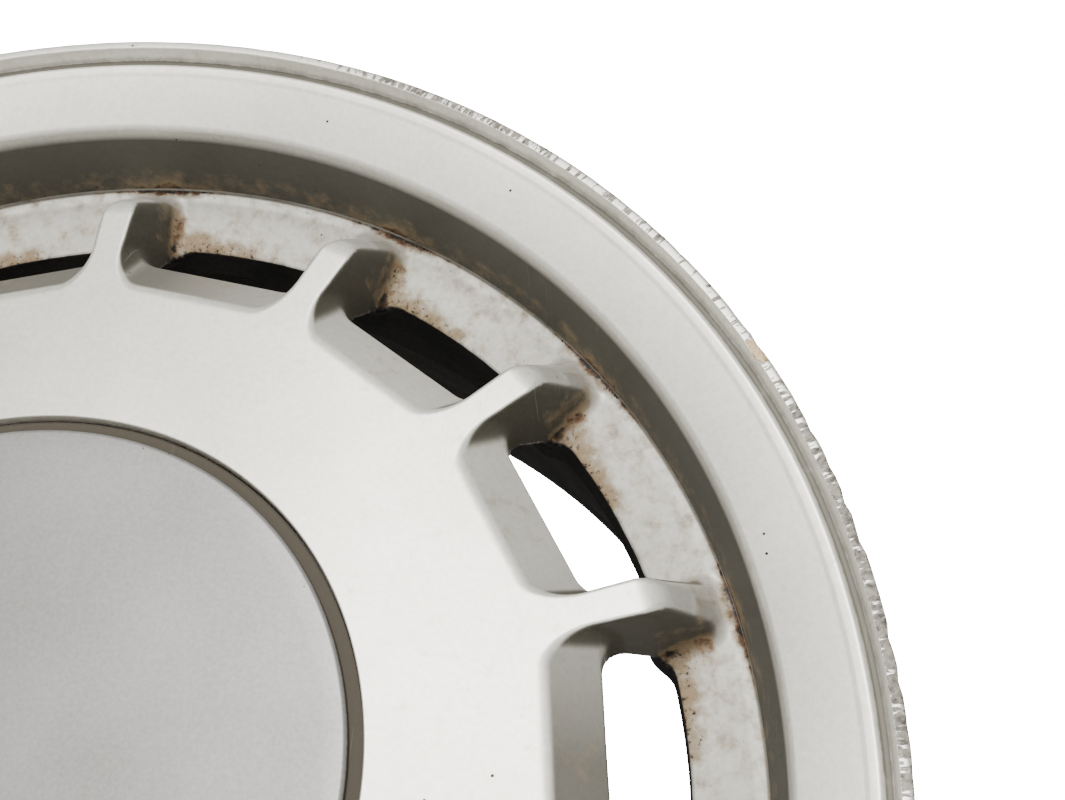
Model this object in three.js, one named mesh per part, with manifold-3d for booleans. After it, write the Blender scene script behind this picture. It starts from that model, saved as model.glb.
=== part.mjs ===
// A 15 inch light-alloy road wheel with a large snap-in centre cap: a one-piece casting with fifteen windows,
// the cap with its spring clips, a clamp-in valve and a strip of balance weights.
// Millimetres, +Z up. The wheel's axis is Y, its front faces -Y, and the origin is the middle of its width.
import * as THREE from "three";
import { mergeVertices } from "three/addons/utils/BufferGeometryUtils.js";
import Module from "manifold-3d";

const wasm = await Module();
wasm.setup();

// ---------------------------------------------------------------- driving dimensions
// Rim
const rimWidth = 165.1; // between the two bead faces: six and a half inches
const flangeCurl = 12.5; // how far each flange's curl stands outside its bead face
const beadSeatRadius = 190.1; // a 15 inch seat
const flangeHeight = 17.3; // seat to lip
const wellDrop = 17.6; // seat to the bottom of the drop centre
const wellWidth = 26;
const barrelWall = 5;
const lipWidth = 3.1; // the narrow front edge that meets the kerb
const lipWallDepth = 4.6; // the small step inside the lip
// Front ring, measured in depth behind the lip's front plane
const ringInnerDepth = 10.1;
const stepDrop = 25.4; // the wall from the ring down to the channel
const stepDraft = 3.1; // how far that wall leans in
const ringWidth = 20.9;
// Channel floor and windows
const floorWidth = 17.8;
const floorSlope = 0.35; // depth per radius, going in
const floorEdge = 2.4; // thickness of its inner edge
const windowGap = 19; // floor edge to centre-plate edge
const windowCount = 15;
// Centre plate and hub
const faceDepth = 10.6;
const faceFall = 2.7; // the face's fall from cap to windows
const edgeChamfer = 12.4; // width of the slope around the plate
const plateThickness = 10;
const hubDepth = 54; // lip plane to mounting pad
const padRadius = 80;
const hubThickness = 14;
const centreBoreRadius = 33.3;
const boltCircleRadius = 56;
const boltHoleRadius = 7.5;
const boltSeatRadius = 12;
const boltCount = 5;
// Spokes
const spokeHalfWidth = 4.4;
const spokeDraft = 0.085;
const spokeShoulder = 18.4; // from the channel's outer corner in to where a spoke starts to fall
// Centre cap
const capRadius = 86.9;
const capFlange = 3.3; // how far its lower flange stands outside the face
const capStep = 2.6; // face to flange
const capFlangeThickness = 2.1;
const capWall = 2.6;
const skirtWall = 2.3;
const skirtLength = 14;
const clipCount = 6;
const clipWidth = 14;
const clipGauge = 0.8;
const clipSpring = 3.9; // radial room that a clip fills
const clipLength = 12;
// Valve
const valveHoleRadius = 5.7;
const valveStemRadius = 4;
const valveSeatRadius = 8; // the flats machined round the hole
const valveWall = 7.5; // metal left between the two flats
const valveReach = 24; // from the front flat to the stem's tip
const coreRadius = 2.4;
const pinRadius = 0.7;
const pinSealRadius = 1.9;
// Balance weights
const weightCount = 4;
const weightLength = 19;
const weightWidth = 17;
const weightThickness = 4;
const tapeThickness = 0.9;
const weightAngle = THREE.MathUtils.degToRad(205);
const castingSegments = 60; // a whole number to each window
// Fits
const fitGap = 0.3; // between pieces that touch
const overlap = 1; // how far joined shapes run into each other

// ---------------------------------------------------------------- derived places
const frontY = -(rimWidth / 2 + flangeCurl);
const rearY = -frontY;
const lipRadius = beadSeatRadius + flangeHeight;
const ringOuterRadius = lipRadius - lipWidth;
const ringInnerRadius = ringOuterRadius - ringWidth;
const cornerRadius = ringInnerRadius - stepDraft;
const cornerDepth = ringInnerDepth + stepDrop;
const floorInnerRadius = cornerRadius - floorWidth;
const floorDepth = (r) => cornerDepth + (cornerRadius - r) * floorSlope;
const plateRadius = floorInnerRadius - windowGap;
const faceRadius = plateRadius - edgeChamfer;
const recessRadius = capRadius + capFlange + 0.4;
const capWellRadius = recessRadius - 6.6;
const ledgeDepth = faceDepth + capStep + capFlangeThickness + fitGap;
const wellRadius = beadSeatRadius - wellDrop;
const barrelRadius = wellRadius - barrelWall;
const barrelDepth = cornerDepth + 16;

// ---------------------------------------------------------------- helpers
const point = (r, depth) => new THREE.Vector2(r, frontY + depth);

// Points along an arc in the radius and depth plane, ends included.
function arc(r, depth, radius, from, to, steps) {
  return Array.from({ length: steps + 1 }, (_, i) => {
    const angle = THREE.MathUtils.degToRad(from + ((to - from) * i) / steps);
    return point(r + radius * Math.cos(angle), depth + radius * Math.sin(angle));
  });
}

function turned(profile, segments, closed = true) {
  const points = closed ? [...profile, profile[0]] : profile;
  return new THREE.LatheGeometry(points, segments);
}

// A flat outline in x and y, pulled along z.
function pulled(points, height) {
  const shape = points instanceof THREE.Shape ? points : new THREE.Shape(points);
  return new THREE.ExtrudeGeometry(shape, { depth: height, bevelEnabled: false, curveSegments: 12 });
}

function solid(geometry) {
  const bare = geometry.clone();
  bare.deleteAttribute("normal");
  bare.deleteAttribute("uv");
  const merged = mergeVertices(bare, 1e-4);
  const made = new wasm.Manifold(
    new wasm.Mesh({
      numProp: 3,
      vertProperties: new Float32Array(merged.attributes.position.array),
      triVerts: new Uint32Array(merged.index.array),
    }),
  );
  if (made.volume() > 0) return made;
  const flipped = new Uint32Array(merged.index.array);
  for (let i = 0; i < flipped.length; i += 3) [flipped[i], flipped[i + 1]] = [flipped[i + 1], flipped[i]];
  return new wasm.Manifold(
    new wasm.Mesh({
      numProp: 3,
      vertProperties: new Float32Array(merged.attributes.position.array),
      triVerts: flipped,
    }),
  );
}

function geometryOf(made) {
  const mesh = made.getMesh();
  const geometry = new THREE.BufferGeometry();
  geometry.setAttribute("position", new THREE.BufferAttribute(mesh.vertProperties, 3));
  geometry.setIndex(new THREE.BufferAttribute(mesh.triVerts, 1));
  geometry.computeVertexNormals();
  return geometry;
}

const wheel = new THREE.Group();

function addPiece(name, geometry, material, parent = wheel) {
  const mesh = new THREE.Mesh(geometry, material);
  mesh.name = name;
  parent.add(mesh);
  return mesh;
}

// ---------------------------------------------------------------- materials
const material = (color, roughness, metalness) => new THREE.MeshStandardMaterial({ color, roughness, metalness });
const silverLacquer = material(0xd6d5d0, 0.45, 0.3);
const capPaint = material(0xbdbcb8, 0.5, 0.2);
const springSteel = material(0x8c8e90, 0.35, 1);
const nickelledBrass = material(0xb9b7ae, 0.3, 1);
const brass = material(0xb08d4a, 0.35, 1);
const blackRubber = material(0x1d1d1e, 0.8, 0);
const blackPlastic = material(0x17181a, 0.5, 0);
const zincWeight = material(0x8f9192, 0.55, 0.8);
const foamTape = material(0x3a3b3d, 0.9, 0);

// ---------------------------------------------------------------- the valve's own frame
// Its axis stands square to the channel floor, half way across it, at the bottom of the wheel.
const valveRadius = (cornerRadius + floorInnerRadius) / 2;
const valveTilt = Math.atan(floorSlope);
const valveFrame = new THREE.Group();
valveFrame.position.set(0, frontY + floorDepth(valveRadius), -valveRadius);
valveFrame.rotation.set(Math.PI / 2 - valveTilt, 0, 0);
valveFrame.updateMatrix();
const frontFlat = -1.2;
const rearFlat = frontFlat - valveWall;

function cylinder(radius, from, to, segments = 32) {
  const shape = new THREE.CylinderGeometry(radius, radius, to - from, segments);
  shape.rotateX(Math.PI / 2);
  shape.translate(0, 0, (from + to) / 2);
  return shape;
}

const inValveFrame = (geometry) => solid(geometry.applyMatrix4(valveFrame.matrix));
const valveHole = () => inValveFrame(cylinder(valveHoleRadius, -40, 40));
const valveRearFlat = () => inValveFrame(cylinder(valveSeatRadius + 2, -40, rearFlat));
const valveFrontFlat = () => inValveFrame(cylinder(valveSeatRadius, frontFlat, 8));

// ---------------------------------------------------------------- wheel casting: rim, channel, spokes, plate and hub
function makeRim() {
  const faceOfBead = flangeCurl;
  const flangeBend = 9.5;
  const seatBend = 6.5;
  const seatFall = 1.4;
  const seatLength = 19.7;
  const barrelEnd = rearY - frontY;
  const back = (r, fromRear) => point(r, barrelEnd - fromRear);
  const profile = [
    // lip and dished front ring
    point(lipRadius, 1.2),
    point(lipRadius - 0.9, 0),
    point(ringOuterRadius + 0.4, 0),
    point(ringOuterRadius, 0.5),
    point(ringOuterRadius - 0.4, lipWallDepth),
    point(ringOuterRadius - 5.4, lipWallDepth + 0.9),
    point(ringInnerRadius + 0.8, ringInnerDepth - 0.3),
    point(ringInnerRadius, ringInnerDepth + 0.4),
    // step wall, channel floor, barrel
    point(cornerRadius, cornerDepth),
    point(floorInnerRadius + 0.8, floorDepth(floorInnerRadius + 0.8)),
    point(floorInnerRadius, floorDepth(floorInnerRadius) + 0.8),
    point(floorInnerRadius, floorDepth(floorInnerRadius) + floorEdge),
    point(barrelRadius, barrelDepth),
    point(barrelRadius, barrelDepth + wellWidth),
    back(barrelRadius + 11, 73),
    back(beadSeatRadius - 7, 45),
    back(beadSeatRadius - 3, 15),
    back(beadSeatRadius, 9),
    back(beadSeatRadius + 6, 2),
    back(lipRadius - 5, 0),
    back(lipRadius - 1, 0),
    back(lipRadius, 1),
    // rear flange, seats and drop centre, on the tyre's side
    back(lipRadius, 4.2),
    ...arc(lipRadius - 9.4, barrelEnd - faceOfBead + flangeBend, flangeBend, -20, -90, 2),
    ...arc(beadSeatRadius + seatBend, barrelEnd - faceOfBead - seatBend, seatBend, 90, 180, 2),
    back(beadSeatRadius - seatFall, faceOfBead + seatLength),
    back(beadSeatRadius - 5.5, faceOfBead + seatLength + 9),
    back(wellRadius + 9, 71),
    point(wellRadius, barrelDepth + wellWidth + 3),
    point(wellRadius, barrelDepth + 3),
    point(beadSeatRadius - 2.1, cornerDepth + 5.5),
    point(beadSeatRadius - 0.6, faceOfBead + seatLength + 2.5),
    point(beadSeatRadius - seatFall, faceOfBead + seatLength),
    ...arc(beadSeatRadius + seatBend, faceOfBead + seatBend, seatBend, 180, 270, 2),
    ...arc(lipRadius - 9.4, faceOfBead - flangeBend, flangeBend, 90, 20, 2),
    point(lipRadius, 4.2),
  ];
  return solid(turned(profile, castingSegments));
}

function hubProfile() {
  const wellFloor = hubDepth - hubThickness;
  const edgeDepth = faceDepth + faceFall + plateThickness;
  return [
    point(centreBoreRadius, wellFloor + 1),
    point(centreBoreRadius + 1, wellFloor),
    point(capWellRadius - 2, wellFloor),
    point(capWellRadius, wellFloor - 2),
    point(capWellRadius, ledgeDepth),
    point(recessRadius, ledgeDepth),
    point(recessRadius, faceDepth),
    point(faceRadius, faceDepth + faceFall),
    point(plateRadius - 0.4, edgeDepth - 0.4),
    point(plateRadius, edgeDepth),
    point(plateRadius - 1, edgeDepth + 1.6),
    point(plateRadius - 30, edgeDepth + 6),
    point(padRadius + 18, edgeDepth + 11),
    point(padRadius + 2, hubDepth - 3),
    point(padRadius, hubDepth),
    point(centreBoreRadius + 1.5, hubDepth),
    point(centreBoreRadius, hubDepth - 1.5),
  ];
}

// Half the spoke's width: it flares into the plate, and its sides lean out with depth.
function spokeHalf(r, depth) {
  const flare = Math.max(0, faceRadius + 14 - r);
  const lean = Math.max(0, Math.min(depth, floorDepth(floorInnerRadius)) - faceDepth - faceFall);
  return spokeHalfWidth + flare * flare * 0.03 + lean * spokeDraft;
}

function makeSpoke() {
  const crest = faceDepth + faceFall + 0.3;
  const shoulder = cornerRadius - spokeShoulder;
  const foot = cornerRadius - 3.6;
  const front = [
    [faceRadius - 4, crest + 1.4],
    [faceRadius + 1.5, crest],
    [faceRadius + 6, crest + 0.2],
    [faceRadius + 12, crest + 0.6],
    [shoulder - 4, crest + 1.4],
    [shoulder, crest + 2.6],
    [shoulder + 3.2, crest + 6],
    [foot, floorDepth(foot) - 0.2],
    [foot, floorDepth(foot) + 1.6],
  ];
  const rear = [
    [barrelRadius - 1.2, barrelDepth - 3],
    [floorInnerRadius, barrelDepth - 3.4],
    [floorInnerRadius - 11, barrelDepth - 3.4],
    [plateRadius - 14, faceDepth + faceFall + plateThickness + 3.5],
    [faceRadius - 4, faceDepth + faceFall + plateThickness],
  ];
  const outline = [...front, ...rear].map(([r, depth]) => new THREE.Vector2(r, frontY + depth));
  const geometry = pulled(outline, 2);
  const position = geometry.attributes.position;
  for (let i = 0; i < position.count; i += 1) {
    const r = position.getX(i);
    const depth = position.getY(i) - frontY;
    const half = spokeHalf(r, depth);
    position.setZ(i, position.getZ(i) > 1 ? half : -half);
  }
  return geometry;
}

function makeBoltCutter(angle) {
  const seat = [
    new THREE.Vector2(0, frontY + hubDepth + overlap),
    new THREE.Vector2(boltHoleRadius, frontY + hubDepth + overlap),
    new THREE.Vector2(boltHoleRadius, frontY + hubDepth - hubThickness + 6),
    new THREE.Vector2(boltSeatRadius, frontY + hubDepth - hubThickness + 0.5),
    new THREE.Vector2(boltSeatRadius, frontY + hubDepth - hubThickness - overlap),
    new THREE.Vector2(0, frontY + hubDepth - hubThickness - overlap),
  ];
  const cutter = turned(seat, 20, false);
  return solid(cutter.translate(boltCircleRadius * Math.cos(angle), 0, boltCircleRadius * Math.sin(angle)));
}

function makeCasting() {
  const spoke = makeSpoke();
  let casting = makeRim().add(solid(turned(hubProfile(), castingSegments)));
  for (let i = 0; i < windowCount; i += 1) {
    casting = casting.add(solid(spoke.clone().rotateY(-Math.PI / 2 - (i * 2 * Math.PI) / windowCount)));
  }
  for (let i = 0; i < boltCount; i += 1) {
    casting = casting.subtract(makeBoltCutter(Math.PI / 2 + (i * 2 * Math.PI) / boltCount));
  }
  return geometryOf(casting.subtract(valveHole()).subtract(valveRearFlat()).subtract(valveFrontFlat()));
}

// ---------------------------------------------------------------- centre cap
const capGroup = new THREE.Group();

function makeCap() {
  const skirtRadius = capWellRadius - clipSpring - fitGap;
  const profile = [
    point(0, faceDepth),
    point(capRadius - 0.9, faceDepth),
    point(capRadius, faceDepth + 0.9),
    point(capRadius, faceDepth + capStep),
    point(capRadius + capFlange, faceDepth + capStep),
    point(capRadius + capFlange, faceDepth + capStep + capFlangeThickness),
    point(skirtRadius, faceDepth + capStep + capFlangeThickness),
    point(skirtRadius, faceDepth + capStep + skirtLength),
    point(skirtRadius - skirtWall, faceDepth + capStep + skirtLength),
    point(skirtRadius - skirtWall, faceDepth + capWall),
    point(0, faceDepth + capWall),
  ];
  return turned(profile, 72, false);
}

// The outline of a strip of even thickness along a line of points.
function ribbon(line, thickness) {
  const side = (sign) =>
    line.map((p, i) => {
      const along = line[Math.min(i + 1, line.length - 1)].clone().sub(line[Math.max(i - 1, 0)]).normalize();
      return new THREE.Vector2(p.x - (along.y * sign * thickness) / 2, p.y + (along.x * sign * thickness) / 2);
    });
  return [...side(1), ...side(-1).reverse()];
}

function makeClip() {
  const inner = capWellRadius - clipSpring + clipGauge / 2;
  const well = capWellRadius * Math.cos(Math.PI / castingSegments) - fitGap;
  const outer = Math.sqrt(well ** 2 - (clipWidth / 2) ** 2) - clipGauge / 2;
  const top = faceDepth + capStep + capFlangeThickness + 1.2;
  const end = top + clipLength;
  const line = [
    point(inner, top),
    point(inner, end - 1.4),
    point(inner + 0.45, end - 0.4),
    point((inner + outer) / 2 - 0.15, end),
    point(outer - 0.75, end - 0.5),
    point(outer - 0.35, end - 1.6),
    point(outer, (top + end) / 2),
    point(outer - 0.9, top + 1.5),
  ];
  return pulled(ribbon(line, clipGauge), clipWidth).translate(0, 0, -clipWidth / 2);
}

function addCap() {
  addPiece("centre_cap", makeCap(), capPaint, capGroup);
  const clip = makeClip();
  for (let i = 0; i < clipCount; i += 1) {
    const piece = addPiece(`cap_clip_${i + 1}`, clip, springSteel, capGroup);
    piece.rotation.y = Math.PI / 6 + (i * 2 * Math.PI) / clipCount;
  }
  wheel.add(capGroup);
}

// ---------------------------------------------------------------- valve
// Turned round the valve's own z, from points of radius and height.
function valveTurned(points, segments = 32) {
  const profile = points.map(([r, z]) => new THREE.Vector2(r, z));
  return turned(profile, segments).rotateX(Math.PI / 2);
}

function makeValveStem() {
  const bore = coreRadius + fitGap;
  const headTop = rearFlat - 2 - fitGap;
  return valveTurned([
    [1.4, headTop - 3],
    [valveSeatRadius - 0.5, headTop - 3],
    [valveSeatRadius - 0.5, headTop],
    [valveStemRadius, headTop],
    [valveStemRadius, valveReach],
    [bore, valveReach],
    [bore, valveReach - 15],
    [1.4, valveReach - 16],
  ]);
}

function makeGrommet() {
  const inner = valveStemRadius + fitGap;
  const outer = valveHoleRadius - fitGap;
  return valveTurned([
    [inner, rearFlat - 2],
    [valveSeatRadius - 0.3, rearFlat - 2],
    [valveSeatRadius - 0.3, rearFlat - fitGap],
    [outer, rearFlat - fitGap],
    [outer, frontFlat - 0.4],
    [inner, frontFlat - 0.4],
  ]);
}

function makeWasher() {
  const inner = valveStemRadius + fitGap;
  return valveTurned([
    [inner, frontFlat + fitGap],
    [valveSeatRadius - 0.5, frontFlat + fitGap],
    [valveSeatRadius - 0.5, frontFlat + fitGap + 1.2],
    [inner, frontFlat + fitGap + 1.2],
  ]);
}

function makeNut() {
  const base = frontFlat + 2 * fitGap + 1.2;
  const across = 6.9;
  const corners = Array.from({ length: 6 }, (_, i) => {
    const angle = (i * Math.PI) / 3;
    return new THREE.Vector2(across * Math.cos(angle), across * Math.sin(angle));
  });
  const shape = new THREE.Shape(corners);
  shape.holes.push(new THREE.Path().absarc(0, 0, valveStemRadius + fitGap, 0, 2 * Math.PI, true));
  return pulled(shape, 4).translate(0, 0, base);
}

function makeCore() {
  const bore = pinRadius + fitGap;
  return valveTurned(
    [
      [bore, valveReach - 12],
      [coreRadius - 0.6, valveReach - 12],
      [coreRadius, valveReach - 9],
      [coreRadius, valveReach - 1],
      [bore, valveReach - 1],
    ],
    20,
  );
}

function makePin() {
  const profile = [
    [0, valveReach - 13],
    [pinSealRadius, valveReach - 13],
    [pinSealRadius, valveReach - 12 - fitGap],
    [pinRadius, valveReach - 12 - fitGap],
    [pinRadius, valveReach - 0.2],
    [0, valveReach - 0.2],
  ].map(([r, z]) => new THREE.Vector2(r, z));
  return turned(profile, 16, false).rotateX(Math.PI / 2);
}

function makeValveCap() {
  const inner = valveStemRadius + fitGap;
  const wall = 1.3;
  const start = valveReach - 8.5;
  const profile = [
    [0, valveReach + 0.6],
    [inner, valveReach + 0.6],
    [inner, start],
    [inner + wall, start],
    [inner + wall, valveReach + 0.8],
    [inner + wall - 1.2, valveReach + 2.1],
    [0, valveReach + 2.1],
  ].map(([r, z]) => new THREE.Vector2(r, z));
  return turned(profile, 32, false).rotateX(Math.PI / 2);
}

function addValve() {
  addPiece("valve_stem", makeValveStem(), nickelledBrass, valveFrame);
  addPiece("valve_grommet", makeGrommet(), blackRubber, valveFrame);
  addPiece("valve_washer", makeWasher(), nickelledBrass, valveFrame);
  addPiece("valve_nut", makeNut(), nickelledBrass, valveFrame);
  addPiece("valve_core", makeCore(), brass, valveFrame);
  addPiece("valve_pin", makePin(), brass, valveFrame);
  addPiece("valve_cap", makeValveCap(), blackPlastic, valveFrame);
  wheel.add(valveFrame);
}

// ---------------------------------------------------------------- balance weights, stuck inside the barrel
// A curved block that lies along the barrel, between two radii, about the angle given.
function curvedBlock(inner, outer, length, width, angle) {
  const half = length / 2 / inner;
  const shape = new THREE.Shape();
  shape.absarc(0, 0, outer, angle - half, angle + half, false);
  shape.absarc(0, 0, inner, angle + half, angle - half, true);
  const block = new THREE.ExtrudeGeometry(shape, { depth: width, bevelEnabled: false, curveSegments: 4 });
  return block.rotateX(Math.PI / 2).translate(0, width, 0);
}

function addWeights() {
  const outer = barrelRadius - 0.7;
  const spacing = weightLength + 1;
  const start = frontY + barrelDepth + 4;
  const stripLength = weightCount * spacing;
  const tape = curvedBlock(outer - tapeThickness, outer, stripLength, weightWidth, 0);
  const tapeMesh = addPiece("weight_tape", tape, foamTape);
  tapeMesh.position.y = start;
  tapeMesh.rotation.y = -weightAngle;
  const back = outer - tapeThickness - fitGap;
  for (let i = 0; i < weightCount; i += 1) {
    const offset = ((i - (weightCount - 1) / 2) * spacing) / back;
    const block = curvedBlock(back - weightThickness, back, weightLength, weightWidth, 0);
    const piece = addPiece(`balance_weight_${i + 1}`, block, zincWeight);
    piece.position.y = start;
    piece.rotation.y = offset - weightAngle;
  }
}

// ---------------------------------------------------------------- the wheel
addPiece("wheel_casting", makeCasting(), silverLacquer);
addCap();
addValve();
addWeights();

export default wheel;
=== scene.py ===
"""A used 15 inch light-alloy road wheel with fifteen windows and a large centre cap."""
import math
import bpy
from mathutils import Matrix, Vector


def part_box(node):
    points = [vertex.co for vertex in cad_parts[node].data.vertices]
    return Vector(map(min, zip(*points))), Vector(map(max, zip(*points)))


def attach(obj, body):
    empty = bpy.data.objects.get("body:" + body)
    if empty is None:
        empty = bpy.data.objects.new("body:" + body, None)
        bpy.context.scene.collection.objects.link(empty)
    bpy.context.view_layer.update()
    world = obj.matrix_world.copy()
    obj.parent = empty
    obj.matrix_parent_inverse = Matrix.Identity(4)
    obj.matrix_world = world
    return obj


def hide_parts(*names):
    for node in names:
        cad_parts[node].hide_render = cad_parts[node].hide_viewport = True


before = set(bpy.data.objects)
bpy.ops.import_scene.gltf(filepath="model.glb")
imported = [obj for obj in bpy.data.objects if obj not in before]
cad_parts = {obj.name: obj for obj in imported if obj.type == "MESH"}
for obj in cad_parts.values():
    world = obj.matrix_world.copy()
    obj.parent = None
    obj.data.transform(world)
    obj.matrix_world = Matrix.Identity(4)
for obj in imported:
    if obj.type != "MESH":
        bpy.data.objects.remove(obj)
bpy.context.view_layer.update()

from types import SimpleNamespace

import bmesh
import bpy
import numpy as np
from mathutils import Matrix, Vector


# ---------------------------------------------------------------- the wheel casting
# One gravity-die casting in aluminium-silicon alloy: rim, dished ring, channel, spokes, plate and hub.
# Its face is silver lacquer over primer, chipped to grey alloy at the lip, with road dirt in every corner,
# and painted shade on the step wall, the window sides and the channel floor.
# The barrel behind has brake dust baked on, painted near black as shade, and the tyre's side is plain grey
# with rubber marks.
MM = 0.001
casting_low, casting_high = (Vector(corner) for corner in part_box("wheel_casting"))
front_y = casting_low.y
wheel_width = (casting_high.y - casting_low.y) / MM
lip_radius = (casting_high.x - casting_low.x) / 2 / MM

window_count = 15
sector = 2 * math.pi / window_count
recess_radius = 90.6
face_depth = 10.6
face_edge_radius = 131.1
face_edge_depth = 13.3
plate_radius = 143.6
plate_edge_depth = 23.3
floor_edge_radius = 162.5
corner_radius = 180.3
corner_depth = 35.5
floor_slope = 0.35
floor_edge = 2.4
barrel_radius = 167.5
barrel_depth = 51.5
bead_seat_radius = 190.1
well_radius = 172.5
bore_radius = 33.3
pad_radius = 80.0
pad_depth = 54.0
hub_floor_depth = 40.0
cap_well_radius = 84.0
ledge_depth = 15.6


def linear(code):
    """An sRGB hex colour as linear RGBA."""
    parts = [int(code[i:i + 2], 16) / 255 for i in (1, 3, 5)]
    return [c / 12.92 if c <= 0.04045 else ((c + 0.055) / 1.055) ** 2.4 for c in parts] + [1.0]


def rounded(corners, steps=5):
    """A (radius, depth) line whose corners carry a third number, the radius that they are rounded to."""
    line = []
    for i, corner in enumerate(corners):
        here = np.array(corner[:2], float)
        size = corner[2] if len(corner) > 2 else 0
        if not size or i in (0, len(corners) - 1):
            line.append(here)
            continue
        before = np.array(corners[i - 1][:2], float) - here
        after = np.array(corners[i + 1][:2], float) - here
        room = 0.49 * min(np.linalg.norm(before), np.linalg.norm(after))
        before /= np.linalg.norm(before)
        after /= np.linalg.norm(after)
        half = math.acos(max(-1, min(1, float(before @ after)))) / 2
        cut = min(size / math.tan(half), room)
        size = cut * math.tan(half)
        middle = (before + after) / np.linalg.norm(before + after)
        centre = here + middle * size / math.sin(half)
        start, end = here + before * cut - centre, here + after * cut - centre
        turn = math.atan2(start[0] * end[1] - start[1] * end[0], start @ end)
        for k in range(steps + 1):
            a = turn * k / steps
            line.append(centre + [start[0] * math.cos(a) - start[1] * math.sin(a),
                                  start[0] * math.sin(a) + start[1] * math.cos(a)])
    return line


def mesh_object(name, points, faces):
    """Points are millimetres: x, depth behind the lip, z."""
    mesh = bpy.data.meshes.new(name)
    places = np.array(points, float) * MM
    places[:, 1] += front_y
    mesh.from_pydata(places.tolist(), [], [list(f) for f in faces])
    mesh.polygons.foreach_set("use_smooth", [True] * len(mesh.polygons))
    mesh.update()
    made = bpy.data.objects.new(name, mesh)
    bpy.context.scene.collection.objects.link(made)
    return made


def turned(name, line, segments, closed=True, shape=None):
    """A solid of revolution about the wheel's axis. shape gives each point's new radius from its radius,
    angle and depth."""
    line = [np.array(p, float) for p in line]
    count = len(line)
    points, faces = [], []
    for s in range(segments):
        a = 2 * math.pi * s / segments
        for r, d in line:
            r = shape(r, a, d) if shape else r
            points.append((r * math.cos(a), d, r * math.sin(a)))
    for s in range(segments):
        near, far = s * count, (s + 1) % segments * count
        for k in range(count if closed else count - 1):
            after = (k + 1) % count
            corners = [near + k, far + k, far + after, near + after]
            if line[k][0] < 1e-6:
                corners.remove(far + k)
            if line[after][0] < 1e-6:
                corners.remove(far + after)
            if len(corners) > 2:
                faces.append(corners)
    return mesh_object(name, points, faces)


def outward(made):
    """Turns every face outward and joins doubled points."""
    work = bmesh.new()
    work.from_mesh(made.data)
    bmesh.ops.remove_doubles(work, verts=work.verts, dist=1e-6)
    bmesh.ops.recalc_face_normals(work, faces=work.faces)
    work.to_mesh(made.data)
    work.free()


# The rim: lip, groove, bead and dished ring in front, the barrel inside, and the tyre's channel outside.
lip_band = 3.1
flange = 12.5
rear = wheel_width
wall_top, wall_top_depth = 183.4, 10.1
wall_draft = (wall_top - corner_radius) / (corner_depth - wall_top_depth)
rim_segments = 400
kerbed_turn, kerbed_spread = 18, 16
light_scuff, deep_scuff = 0.08, 0.5


def scuffed(r, angle, depth):
    """The lip's front worn back unevenly by kerbs, most on one side."""
    if r < lip_radius - 1.5 or depth > 5:
        return r
    worst = math.exp(-((math.degrees(angle) % 360 - kerbed_turn) / kerbed_spread) ** 2)
    waves = math.sin(angle * 83) * math.sin(angle * 37 + 1) + 0.6 * math.sin(angle * 149 + 2)
    return r - (light_scuff + deep_scuff * worst) * max(0.0, waves)


rim_line = rounded([
    (lip_radius, 3.6), (lip_radius, 0, 1.3), (lip_radius - lip_band, 0, 0.5),
    (lip_radius - lip_band - 0.5, 4.9, 0.7), (lip_radius - 5.0, 5.1, 0.5), (lip_radius - 6.4, 3.5, 1.2),
    (lip_radius - 8.6, 4.25, 1.2), (lip_radius - 9.6, 4.7, 1.2), (wall_top, wall_top_depth, 2.2),
    *[(corner_radius + (corner_depth - d) * wall_draft, d) for d in (15, 19, 22, 25, 27, 29, 31, 33, 34.5)],
    (corner_radius, corner_depth + 1), (corner_radius - 1.5, corner_depth + 4), (174, 48),
    (barrel_radius, barrel_depth, 2), (barrel_radius, barrel_depth + 26, 6),
    (barrel_radius + 11, rear - 73, 8), (bead_seat_radius - 7, rear - 45, 6),
    (bead_seat_radius - 3, rear - 15, 4), (bead_seat_radius, rear - 8, 3),
    (bead_seat_radius + 6, rear - 1.5, 3), (lip_radius - 5, rear, 2),
    (lip_radius, rear, 2), (lip_radius, rear - 4.2, 1.5), (lip_radius - 6.4, rear - 4.6, 3),
    (bead_seat_radius + 5, rear - flange, 5), (bead_seat_radius, rear - flange, 5),
    (bead_seat_radius - 1.4, rear - flange - 19.7, 1), (bead_seat_radius - 0.6, rear - flange - 22, 2),
    (bead_seat_radius - 5.5, rear - flange - 29, 3), (well_radius + 9, rear - 71, 8),
    (well_radius, barrel_depth + 29, 6), (well_radius, barrel_depth + 3, 6),
    (bead_seat_radius - 3, flange + 26, 6), (bead_seat_radius - 0.6, flange + 22, 2),
    (bead_seat_radius - 1.4, flange + 19.7, 1), (bead_seat_radius, flange, 5),
    (bead_seat_radius + 5, flange, 5), (lip_radius - 6.4, 5.9, 3), (lip_radius, 5.2, 0.5), (lip_radius, 3.6),
])[:-1]


def tyre_side(depth):
    """Half way through the wall between the barrel's inside and the tyre's channel."""
    stations = [0, 26, 55, 85, 117, 145, 175, 190]
    radii = [186, 185, 170, 170, 180, 184.5, 188, 192]
    return float(np.interp(depth, stations, radii))


lacquered, dusted_and_shaded, tyre_seat, faced = range(4)


def rim_slot(r, depth):
    """The rim's finish: grey where the tyre sits, baked dust painted near black as shade inside the barrel,
    silver lacquer in front.
    """
    if r > tyre_side(depth) and depth > flange - 1:
        return tyre_seat
    return dusted_and_shaded if depth > corner_depth + 4 else lacquered


rim = turned("rim", rim_line, rim_segments, shape=scuffed)
outward(rim)


# Windows, spokes, plate and channel floor: one sector, whose surface is where the casting's field is zero.
# The field joins each pattern's flats with the fillets and rounds of a cast part.
def soft_max(a, b, size):
    """The part common to two solids, with its edge rounded."""
    return np.minimum(-size, np.maximum(a, b)) + np.hypot(np.maximum(a + size, 0), np.maximum(b + size, 0))


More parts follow.
